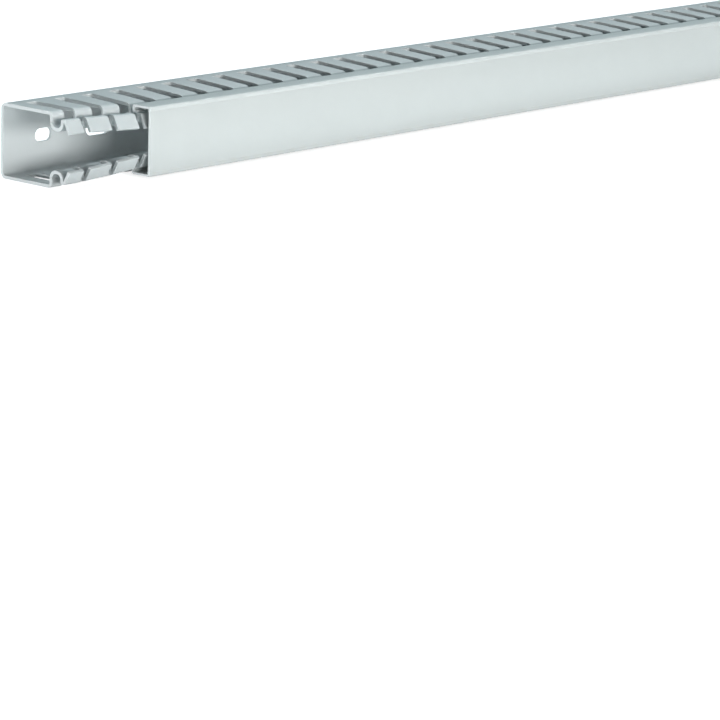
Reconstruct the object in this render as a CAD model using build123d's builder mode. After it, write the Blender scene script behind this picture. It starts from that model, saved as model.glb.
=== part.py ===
"""Slotted wire duct: a punched base channel with a clip-on cover, lying on one slotted side.

X runs along the duct from its cut end, +Y points from the cover to the back wall, and +Z is up.
The origin is on the floor, under the middle of the duct's outline.
"""

import os

from build123d import *

# Driving dimensions in millimetres
length = 500.0
width = 25.0
depth = 34.0
base_wall = 1.1
cover_wall = 0.8

# Fingers of the side walls, and the slots between them
pitch = 12.5
slot_width = 5.0
head_gap = 2.8
first_slot = 7.8
slot_root = 5.7
neck_drop = 3.2

# Bent edge of the side walls: shoulder, cover groove, shelf and lead-in flap
corner_radius = 2.0
shoulder_radius = 1.0
groove_front = 6.2
groove_width = 3.9
groove_depth = 5.0
groove_bevel = 1.2
shelf_width = 2.0
shelf_drop = 1.9
flap_run = 2.4
flap_drop = 4.2

# Fixing holes in the back wall, short and long by turns, as (length, width)
hole_pitch = 25.0
first_hole = 18.0
short_hole = (7.5, 4.4)
long_hole = (11.4, 6.0)

# Cover, set back from the cut end
cover_setback = 34.3
cover_slip = 0.2
cover_corner_radius = 1.2
hook_radius = 0.9
hook_drop = 2.6
hook_toe = 1.1

# Places that follow from the driving dimensions
cut_end = -(length + cover_setback) / 2
groove_back = groove_front + groove_width
half_width = width / 2
groove_bottom = half_width - groove_depth
shelf = half_width - shelf_drop
flap_top = groove_front - shelf_width
half_cover = shelf + cover_slip + cover_wall
hook_front = groove_front + cover_slip
hook_back = hook_front + hook_toe + cover_wall
slot_front = groove_back - groove_width / 4
slot_length = depth - slot_root - slot_front
slot_count = int((length - first_slot - slot_width / 2) // pitch) + 1
hole_count = int((length - first_hole - long_hole[0] / 2) // hole_pitch) + 1

# Planes: across the duct at its cut end, flat on the floor, and on the back wall's outer face
channel_section = Plane((cut_end, -depth / 2, half_width), x_dir=(0, 1, 0), z_dir=(1, 0, 0))
cover_section = channel_section.offset(cover_setback)
floor_plane = Plane((cut_end, -depth / 2, 0))
back_plane = Plane((cut_end, depth / 2, half_width), x_dir=(1, 0, 0), z_dir=(0, 1, 0))


def along(first, spacing, numbers, y=0.0):
    """Places in a row along the duct, counted from the cut end."""
    return [(first + number * spacing, y) for number in numbers]


def beside(corners, distance):
    """The corners of a path that runs to the left of another, or to the right if distance is negative."""
    path = [Vector(*corner) for corner in corners]
    legs = [(end - start).normalized() for start, end in zip(path, path[1:])]
    moved = []
    for corner, coming, going in zip(path, legs[:1] + legs, legs + legs[-1:]):
        across = (coming + going).rotate(Axis.Z, 90)
        moved.append(corner + across * (distance / (1 + coming.dot(going))))
    return moved


# Base channel: one extruded section, then punched
outer_face = [
    (depth, 0),
    (depth, half_width),
    (groove_back, half_width),
    (groove_back, groove_bottom + groove_bevel),
    (groove_back - groove_bevel, groove_bottom),
    (groove_front + groove_bevel, groove_bottom),
    (groove_front, groove_bottom + groove_bevel),
    (groove_front, shelf),
    (flap_top, shelf),
    (flap_top - flap_run, shelf - flap_drop),
]
inner_face = beside(outer_face, base_wall)
with BuildPart() as base_channel:
    with BuildSketch(channel_section):
        with BuildLine():
            FilletPolyline(*outer_face[:4], radius=(corner_radius, shoulder_radius))
            Polyline(*outer_face[3:], inner_face[-1])
            Polyline(*inner_face[2:])
            FilletPolyline(*inner_face[:3], radius=corner_radius - base_wall)
            Line(outer_face[0], inner_face[0])
        make_face()
        mirror(about=Plane.XZ)
    extrude(amount=length)

    # Wide slots through both side walls, as far as the neck of each finger
    for wall_plane, inward in ((floor_plane, 1), (floor_plane.offset(width), -1)):
        with BuildSketch(wall_plane):
            with Locations(*along(first_slot, pitch, range(slot_count), slot_front)):
                Rectangle(slot_width, slot_length, align=(Align.CENTER, Align.MIN))
        extrude(amount=inward * neck_drop, mode=Mode.SUBTRACT)

    # Narrow gaps between the finger heads, past the groove and the flap
    with BuildSketch(floor_plane):
        with Locations(*along(first_slot, pitch, range(slot_count))):
            Rectangle(head_gap, groove_back + 2 * base_wall, align=(Align.CENTER, Align.MIN))
    extrude(amount=width, mode=Mode.SUBTRACT)

    # Fixing holes, short ones at the even places and long ones at the odd places
    with BuildSketch(back_plane):
        with Locations(*along(first_hole, hole_pitch, range(0, hole_count, 2))):
            SlotOverall(*short_hole)
        with Locations(*along(first_hole, hole_pitch, range(1, hole_count, 2))):
            SlotOverall(*long_hole)
    extrude(amount=-2 * base_wall, mode=Mode.SUBTRACT)

# Cover: one extruded section with a hook along each flange
cover_face = [
    (0, 0),
    (0, half_cover),
    (hook_back, half_cover),
    (hook_back, half_cover - hook_drop),
    (hook_front, half_cover - hook_drop),
]
cover_inside = beside(cover_face, -cover_wall)
cover_radii = (cover_corner_radius, hook_radius, hook_radius)
with BuildPart() as cover:
    with BuildSketch(cover_section):
        with BuildLine():
            FilletPolyline(*cover_face, radius=cover_radii)
            FilletPolyline(*cover_inside, radius=tuple(radius - cover_wall for radius in cover_radii))
            Line(cover_face[0], cover_inside[0])
            Line(cover_face[-1], cover_inside[-1])
        make_face()
        mirror(about=Plane.XZ)
    extrude(amount=length)

base_channel.part.label = "base_channel"
cover.part.label = "cover"

os.makedirs("parts", exist_ok=True)
export_step(base_channel.part, "parts/base_channel.step")
export_step(cover.part, "parts/cover.step")
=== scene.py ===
"""Looks, light and camera of the slotted wire duct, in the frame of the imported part."""

import math

import bmesh
import bpy
from mathutils import Matrix, Vector


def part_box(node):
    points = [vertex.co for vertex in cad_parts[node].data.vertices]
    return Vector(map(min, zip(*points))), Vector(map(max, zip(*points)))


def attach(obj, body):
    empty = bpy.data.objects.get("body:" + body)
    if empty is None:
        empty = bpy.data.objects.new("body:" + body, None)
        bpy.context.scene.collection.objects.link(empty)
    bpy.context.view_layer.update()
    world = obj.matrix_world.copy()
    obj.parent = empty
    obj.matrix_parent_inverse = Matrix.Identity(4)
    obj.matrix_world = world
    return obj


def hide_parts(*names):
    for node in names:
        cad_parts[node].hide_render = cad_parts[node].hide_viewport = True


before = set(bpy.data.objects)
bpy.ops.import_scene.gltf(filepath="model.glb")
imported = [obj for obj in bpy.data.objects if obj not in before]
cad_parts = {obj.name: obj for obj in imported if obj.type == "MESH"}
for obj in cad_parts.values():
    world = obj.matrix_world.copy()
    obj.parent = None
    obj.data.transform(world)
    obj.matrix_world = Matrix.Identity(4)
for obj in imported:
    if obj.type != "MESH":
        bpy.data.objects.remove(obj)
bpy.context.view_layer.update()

# The frame gives the duct's ends, faces and middle plane, and a section is drawn in millimetres
mm = 0.001
channel_low, channel_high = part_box("base_channel")
cover_low, cover_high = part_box("cover")
front = cover_low.y
middle = (channel_low.z + channel_high.z) / 2
depth = (channel_high.y - front) / mm
half_width = (channel_high.z - channel_low.z) / 2 / mm
half_cover = (cover_high.z - cover_low.z) / 2 / mm
hook_back = (cover_high.y - front) / mm
length = (channel_high.x - channel_low.x) / mm

# Channel: wall, bends and groove, as places behind the front of the cover
base_wall = 1.1
corner_radius = 2.0
shoulder_radius = 1.8
groove_front = 6.2
groove_back = 10.1
groove_depth = 5.0
groove_bottom = half_width - groove_depth
groove_radius = 1.6
shelf_width = 2.0
shelf_drop = 1.9
shelf = half_width - shelf_drop
shelf_radius = 0.7
flap_top = groove_front - shelf_width
flap_run = 2.4
flap_drop = 4.2
flap_radius = 0.9
tightest_bend = 0.15

# Slots between the fingers, as half gaps
pitch = 12.5
first_slot = 7.8
head_gap = 1.4
neck_gap = 2.5
neck_drop = 3.2
root_to_back = 5.7
slot_root = depth - root_to_back
root_radius = 0.8
step_radius = 0.4
step_slant = 0.1
tip_radius = 0.3
slot_count = int((length - first_slot - neck_gap) // pitch) + 1
finger_slots = [first_slot + number * pitch for number in range(slot_count)]

# Fixing holes, short and long by turns, as (length, width)
hole_pitch = 25.0
first_hole = 18.0
short_hole = (7.5, 4.4)
long_hole = (11.4, 6.0)

# Cover: wall, edge strip with a fine line under it, and hook
cover_wall = 0.8
cover_corner = 0.5
strip_height = 1.2
strip_slope = 0.1
line_width = 0.4
line_depth = 0.12
hook_drop = 2.6
cover_slip = 0.2
hook_front = groove_front + cover_slip
hook_radius = 0.9

# The clipped cover draws the side walls in, from nothing at the cut end to this much at the shoulder
lean = 1.2
lean_run = 45.0

# Fineness: steps of a bend, a small round edge, a slot root and a hole, and what counts as one place
arc_steps = 5
edge_steps = 3
root_steps = 7
hole_steps = 32
same_place = 0.001

# Small rounding of the edges that are sharper than this angle in degrees
edge_bevel = 0.12
edge_angle = 62

# The two materials of each piece, by their numbers on it
surface = 0
cut_face = 1


def quarter(steps=edge_steps):
    """Sine and rise of a quarter turn in even steps, both ends included."""
    angles = [math.pi / 2 * step / steps for step in range(steps + 1)]
    return [(math.sin(angle), 1 - math.cos(angle)) for angle in angles]


def rounded(corner, coming, going, radius):
    """Points of the arc that rounds a corner of a path."""
    turn = math.atan2(coming.x * going.y - coming.y * going.x, coming.dot(going))
    start = corner - coming * radius * math.tan(abs(turn) / 2)
    centre = start + Vector((-coming.y, coming.x)) * math.copysign(radius, turn)
    steps = [Matrix.Rotation(turn * step / arc_steps, 2) for step in range(arc_steps + 1)]
    return [centre + step @ (start - centre) for step in steps]


def bent(knots, wall):
    """Outer point, inner point and half gap along a bent sheet whose wall lies to the right."""
    points = [Vector(knot[:2]) for knot in knots]
    legs = [(after - before).normalized() for before, after in zip(points, points[1:])]
    stations = []
    for corner, coming, going, knot in zip(points, legs[:1] + legs, legs + legs[-1:], knots):
        radius, gap = knot[2:]
        to_wall = Vector((coming.y + going.y, -coming.x - going.x)) / (1 + coming.dot(going))
        inner = corner + to_wall * wall
        if not radius:
            stations.append((corner, inner, gap))
            continue
        wall_inside = coming.x * going.y < coming.y * going.x
        inner_radius = max(radius - wall, tightest_bend) if wall_inside else radius + wall
        outer_arc = rounded(corner, coming, going, radius)
        inner_arc = rounded(inner, coming, going, inner_radius)
        stations.extend((outer, under, gap) for outer, under in zip(outer_arc, inner_arc))
    return stations


def mirrored(stations):
    """The other half of a section, in the opposite order."""
    flip = Vector((1, -1))
    return [(outer * flip, inner * flip, gap) for outer, inner, gap in reversed(stations)]


def sheet(name, stations, start, end, skin, slots=()):
    """A bent sheet along X, open in its slots in front of the slot roots."""
    mesh = bmesh.new()
    total = (end - start) / mm

    def quad(material, *corners):
        places = [(start + x * mm, front + point.x * mm, middle + point.y * mm) for x, point in corners]
        face = mesh.faces.new([mesh.verts.new(place) for place in places])
        face.material_index = material
        face.smooth = True

    def joined(station):
        return station[0].x > slot_root - same_place

    def sides(gap):
        lefts = [0.0] + [slot + gap for slot in slots]
        rights = [slot - gap for slot in slots] + [total]
        return lefts, rights

    for here, there in zip(stations, stations[1:]):
        outer, inner, gap = here
        next_outer, next_inner, next_gap = there
        lefts, rights = sides(gap)
        next_lefts, next_rights = sides(next_gap)
        # Faces between slots, then those that close the row where it has none
        spans = list(zip(lefts, rights, next_lefts, next_rights))
        whole = joined(here) and joined(there)
        if whole:
            spans += zip(rights, lefts[1:], next_rights, next_lefts[1:])
        for left, right, next_left, next_right in spans:
            quad(surface, (left, outer), (right, outer), (next_right, next_outer), (next_left, next_outer))
            quad(surface, (right, inner), (left, inner), (next_left, next_inner), (next_right, next_inner))
        # Cut faces along the slots and at both ends
        cuts = list(zip(lefts, next_lefts)) + list(zip(rights, next_rights))
        if whole:
            cuts = [(0.0, 0.0), (total, total)]
        for x, next_x in cuts:
            quad(cut_face, (x, inner), (x, outer), (next_x, next_outer), (next_x, next_inner))
        # Slot roots
        if joined(here) != joined(there):
            outer, inner, gap = here if joined(here) else there
            lefts, rights = sides(gap)
            for left, right in zip(rights, lefts[1:]):
                quad(cut_face, (left, outer), (right, outer), (right, inner), (left, inner))
    # Front edges of the sheet
    for outer, inner, gap in (stations[0], stations[-1]):
        for left, right in zip(*sides(gap)):
            quad(cut_face, (left, outer), (right, outer), (right, inner), (left, inner))
    bmesh.ops.remove_doubles(mesh, verts=mesh.verts, dist=same_place * mm)
    piece = placed(name, mesh)
    piece.data.materials.append(skin)
    piece.data.materials.append(punched_edge)
    return piece


def placed(name, mesh):
    """An object in the scene from a finished mesh, with its faces turned outwards."""
    bmesh.ops.recalc_face_normals(mesh, faces=mesh.faces)
    data = bpy.data.meshes.new(name)
    mesh.to_mesh(data)
    mesh.free()
    piece = bpy.data.objects.new(name, data)
    bpy.context.scene.collection.objects.link(piece)
    return piece


def channel_section():
    """Stations from the flap of the upper side wall, round the back wall, to the lower flap."""
    flap = Vector((flap_run, flap_drop))
    flap_tip = Vector((flap_top, shelf)) - flap
    knots = [
        (*(flap_tip + flap.normalized() * rise * tip_radius), 0, head_gap + tip_radius * (1 - sine))
        for sine, rise in quarter()
    ]
    knots += [
        (flap_top, shelf, flap_radius, head_gap),
        (groove_front, shelf, shelf_radius, head_gap),
        (groove_front, groove_bottom, groove_radius, head_gap),
        (groove_back, groove_bottom, groove_radius, head_gap),
    ]
    # The head narrows to the neck inside the rear leg of the groove
    head_end = half_width - neck_drop
    knots += [
        (groove_back, head_end - step_radius * (1 - sine), 0, head_gap + rise * step_radius)
        for sine, rise in quarter()
    ]
    knots += [
        (groove_back, head_end + (step_slant + rise) * step_radius, 0, neck_gap - step_radius * (1 - sine))
        for sine, rise in quarter()
    ]
    knots.append((groove_back, half_width, shoulder_radius, neck_gap))
    knots += [
        (slot_root - root_radius * (1 - sine), half_width, 0, neck_gap - rise * root_radius)
        for sine, rise in quarter(root_steps)
    ]
    knots += [
        (depth, half_width, corner_radius, neck_gap - root_radius),
        (depth, 0, 0, neck_gap - root_radius),
    ]
    upper = bent(knots, base_wall)
    return upper + mirrored(upper[:-1])


def cover_section():
    """Stations from the lower hook, over the front face, to the upper hook."""
    line = half_cover - strip_height
    knots = [
        (0, 0, 0, 0),
        (0, line - line_width, 0, 0),
        (line_depth, line - line_width / 2, 0, 0),
        (0, line, 0, 0),
        (strip_slope, half_cover, cover_corner, 0),
        (hook_back, half_cover, hook_radius, 0),
        (hook_back, half_cover - hook_drop, hook_radius, 0),
        (hook_front, half_cover - hook_drop, 0, 0),
    ]
    upper = bent(knots, cover_wall)
    return mirrored(upper[1:]) + upper


def cut_holes(piece):
    """Obround fixing holes through the back wall."""
    mesh = bmesh.new()
    count = int((length - first_hole - long_hole[0] / 2) // hole_pitch) + 1
    for number in range(count):
        hole_length, hole_width = long_hole if number % 2 else short_hole
        centre = Vector((channel_low.x + (first_hole + number * hole_pitch) * mm, channel_high.y, middle))
        radius = hole_width / 2 * mm
        reach = hole_length / 2 * mm - radius
        outline = []
        for step in range(hole_steps):
            angle = 2 * math.pi * (step + 0.5) / hole_steps
            end = math.copysign(reach, math.cos(angle))
            outline.append(Vector((end + radius * math.cos(angle), 0, radius * math.sin(angle))))
        outside = Vector((0, base_wall * mm, 0))
        inside = -2 * outside
        faces = [
            mesh.faces.new([mesh.verts.new(centre + place + side) for place in outline])
            for side in (outside, inside)
        ]
        bmesh.ops.bridge_loops(mesh, edges=[edge for face in faces for edge in face.edges])
    for face in mesh.faces:
        face.material_index = cut_face
        face.smooth = True
    cutter = placed("hole_cutter", mesh)
    for material in piece.data.materials:
        cutter.data.materials.append(material)
    boolean = piece.modifiers.new("holes", "BOOLEAN")
    boolean.operation = "DIFFERENCE"
    boolean.solver = "EXACT"
    boolean.object = cutter
    settle(piece)
    bpy.data.objects.remove(cutter)


def settle(piece):
    """Replace a piece's mesh by what its modifiers make of it."""
    graph = bpy.context.evaluated_depsgraph_get()
    made = bpy.data.meshes.new_from_object(piece.evaluated_get(graph))
    piece.modifiers.clear()
    piece.data = made


def draw_in(piece):
    """Bend the side walls towards each other, as the cover holds them."""
    for vertex in piece.data.vertices:
        along = min((vertex.co.x - channel_low.x) / mm / lean_run, 1.0)
        share = along * along * (3 - 2 * along)
        reach = (channel_high.y - vertex.co.y) / mm / (depth - groove_back)
        side = math.copysign(1.0, vertex.co.z - middle)
        vertex.co.z -= side * lean * share * reach * reach * mm


def soften(piece):
    """Small rounding of the punched and cut edges."""
    bevel = piece.modifiers.new("edges", "BEVEL")
    bevel.width = edge_bevel * mm
    bevel.segments = 2
    bevel.limit_method = "ANGLE"
    bevel.angle_limit = math.radians(edge_angle)
    bevel.harden_normals = True


# Relief of the plastic, as the fineness of its noise along the duct and across it
drawn_lines = (6, 1800, 1800)
matte_grain = (1500, 1500, 1500)
relief_depth = 0.04 * mm
mottle_fineness = 120
uneven_shine = 0.06


def pvc(name, colour, roughness, mottle, relief):
    """Rigid PVC with a faint mottling in colour and shine, and a fine relief."""
    material = bpy.data.materials.new(name)
    material.use_nodes = True
    nodes, links = material.node_tree.nodes, material.node_tree.links
    shader = nodes["Principled BSDF"]
    place = nodes.new("ShaderNodeTexCoord").outputs["Object"]

    cloud = nodes.new("ShaderNodeTexNoise")
    cloud.inputs["Scale"].default_value = mottle_fineness
    cloud.inputs["Detail"].default_value = 3
    links.new(place, cloud.inputs["Vector"])
    tint = nodes.new("ShaderNodeMix")
    tint.data_type = "RGBA"
    tint.inputs["A"].default_value = (*(channel * (1 - mottle) for channel in colour), 1)
    tint.inputs["B"].default_value = (*(min(channel * (1 + mottle), 1) for channel in colour), 1)
    links.new(cloud.outputs["Fac"], tint.inputs["Factor"])
    links.new(tint.outputs["Result"], shader.inputs["Base Color"])

    wear = nodes.new("ShaderNodeMapRange")
    wear.inputs["To Min"].default_value = roughness - uneven_shine
    wear.inputs["To Max"].default_value = roughness + uneven_shine
    links.new(cloud.outputs["Fac"], wear.inputs["Value"])
    links.new(wear.outputs["Result"], shader.inputs["Roughness"])

    stretch = nodes.new("ShaderNodeMapping")
    stretch.inputs["Scale"].default_value = relief
    links.new(place, stretch.inputs["Vector"])
    lines = nodes.new("ShaderNodeTexNoise")
    lines.inputs["Scale"].default_value = 1
    lines.inputs["Detail"].default_value = 2
    links.new(stretch.outputs["Vector"], lines.inputs["Vector"])
    bump = nodes.new("ShaderNodeBump")
    bump.inputs["Strength"].default_value = 0.25
    bump.inputs["Distance"].default_value = relief_depth
    links.new(lines.outputs["Fac"], bump.inputs["Height"])
    links.new(bump.outputs["Normal"], shader.inputs["Normal"])

    shader.inputs["IOR"].default_value = 1.53
    shader.inputs["Specular IOR Level"].default_value = 0.45
    return material


channel_skin = pvc("channel_pvc", (0.60, 0.64, 0.65), 0.45, 0.02, drawn_lines)
cover_skin = pvc("cover_pvc", (0.63, 0.67, 0.67), 0.42, 0.02, drawn_lines)
punched_edge = pvc("punched_edge", (0.62, 0.66, 0.67), 0.62, 0.04, matte_grain)

channel = sheet("channel", channel_section(), channel_low.x, channel_high.x, channel_skin, finger_slots)
cover = sheet("clip_cover", cover_section(), cover_low.x, cover_high.x, cover_skin)
cut_holes(channel)
draw_in(channel)
for piece, node, body, slot in (
    (channel, "base_channel", "channel", "channel_pvc"),
    (cover, "cover", "cover", "cover_pvc"),
):
    soften(piece)
    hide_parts(node)
    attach(piece, body)

# White floor under the duct, lit for the camera until it is as white as the page
floor_reach = 8.0
floor_glow = 0.8
floor_corners = [(x * floor_reach, y * floor_reach, 0) for x, y in ((-1, -1), (1, -1), (1, 1), (-1, 1))]
floor_data = bpy.data.meshes.new("floor")
floor_data.from_pydata(floor_corners, [], [(0, 1, 2, 3)])
floor = bpy.data.objects.new("floor", floor_data)
bpy.context.scene.collection.objects.link(floor)
floor_skin = bpy.data.materials.new("floor")
floor_skin.use_nodes = True
floor_nodes, floor_links = floor_skin.node_tree.nodes, floor_skin.node_tree.links
floor_shader = floor_nodes["Principled BSDF"]
floor_shader.inputs["Base Color"].default_value = (0.8, 0.8, 0.8, 1)
floor_shader.inputs["Roughness"].default_value = 0.9
floor_shader.inputs["Specular IOR Level"].default_value = 0.1
floor_shader.inputs["Emission Color"].default_value = (1, 1, 1, 1)
seen = floor_nodes.new("ShaderNodeLightPath")
glow = floor_nodes.new("ShaderNodeMath")
glow.operation = "MULTIPLY"
glow.inputs[1].default_value = floor_glow
floor_links.new(seen.outputs["Is Camera Ray"], glow.inputs[0])
floor_links.new(glow.outputs["Value"], floor_shader.inputs["Emission Strength"])
floor_data.materials.append(floor_skin)

# White page behind everything, and a dimmer white sky that lights the duct
world = bpy.data.worlds.new("studio")
bpy.context.scene.world = world
world.use_nodes = True
sky_nodes, sky_links = world.node_tree.nodes, world.node_tree.links
sky_nodes.clear()
rays = sky_nodes.new("ShaderNodeLightPath")
page = sky_nodes.new("ShaderNodeBackground")
page.inputs["Color"].default_value = (1, 1, 1, 1)
page.inputs["Strength"].default_value = 1.0
light = sky_nodes.new("ShaderNodeBackground")
light.inputs["Color"].default_value = (0.93, 0.97, 1.0, 1)
light.inputs["Strength"].default_value = 0.03
either = sky_nodes.new("ShaderNodeMixShader")
sky = sky_nodes.new("ShaderNodeOutputWorld")
sky_links.new(rays.outputs["Is Camera Ray"], either.inputs["Fac"])
sky_links.new(light.outputs["Background"], either.inputs[1])
sky_links.new(page.outputs["Background"], either.inputs[2])
sky_links.new(either.outputs["Shader"], sky.inputs["Surface"])


def soft_lamp(name, place, target, width, height, watts, colour, spread=180):
    """A flat lamp that faces a target, with its beam's full angle in degrees."""
    data = bpy.data.lights.new(name, "AREA")
    data.shape = "RECTANGLE"
    data.size = width
    data.size_y = height
    data.color = colour
    data.energy = watts
    data.spread = math.radians(spread)
    lamp = bpy.data.objects.new(name, data)
    lamp.location = place
    lamp.rotation_euler = (Vector(target) - Vector(place)).to_track_quat("-Z", "Y").to_euler()
    bpy.context.scene.collection.objects.link(lamp)


# Front light, light off the floor before the duct, light into its cut end, and cool light from above
warm = (1, 1, 0.985)
white = (1, 1, 1)
cool = (0.84, 0.97, 1)
soft_lamp("key", (-0.35, -1.35, 0.15), (-0.2, 0, 0.01), 1.2, 0.25, 15, warm)
soft_lamp("bounce", (-0.3, -0.75, 0.6), (-0.3, -0.75, 0), 1.2, 0.4, 66, warm, 60)
soft_lamp("side", (-1.7, -0.1, 0.04), (-0.2, 0, 0.012), 0.3, 0.06, 14, white)
soft_lamp("top", (0.1, 0.35, 1.5), (-0.1, 0, 0), 0.8, 0.8, 19, cool)

# Camera, as fitted to the photo, in metres and radians
camera_place = Vector((-1.00554, -0.77276, 0.20718))
camera_yaw = 0.86184
camera_down = 0.24139
camera_roll = 0.03023
forward = Vector(
    (
        math.sin(camera_yaw) * math.cos(camera_down),
        math.cos(camera_yaw) * math.cos(camera_down),
        -math.sin(camera_down),
    )
)
right = Vector((math.cos(camera_yaw), -math.sin(camera_yaw), 0))
up = right.cross(forward)
turned_right = right * math.cos(camera_roll) + up * math.sin(camera_roll)
turned_up = up * math.cos(camera_roll) - right * math.sin(camera_roll)
camera_data = bpy.data.cameras.new("photo_camera")
camera_data.lens = 167.8
camera_data.sensor_width = 36
camera_data.clip_start = 0.01
camera = bpy.data.objects.new("photo_camera", camera_data)
camera.matrix_world = Matrix.Translation(camera_place) @ Matrix(
    (turned_right, turned_up, -forward)
).transposed().to_4x4()
bpy.context.scene.collection.objects.link(camera)
bpy.context.scene.camera = camera
bpy.context.scene.view_settings.view_transform = "Standard"
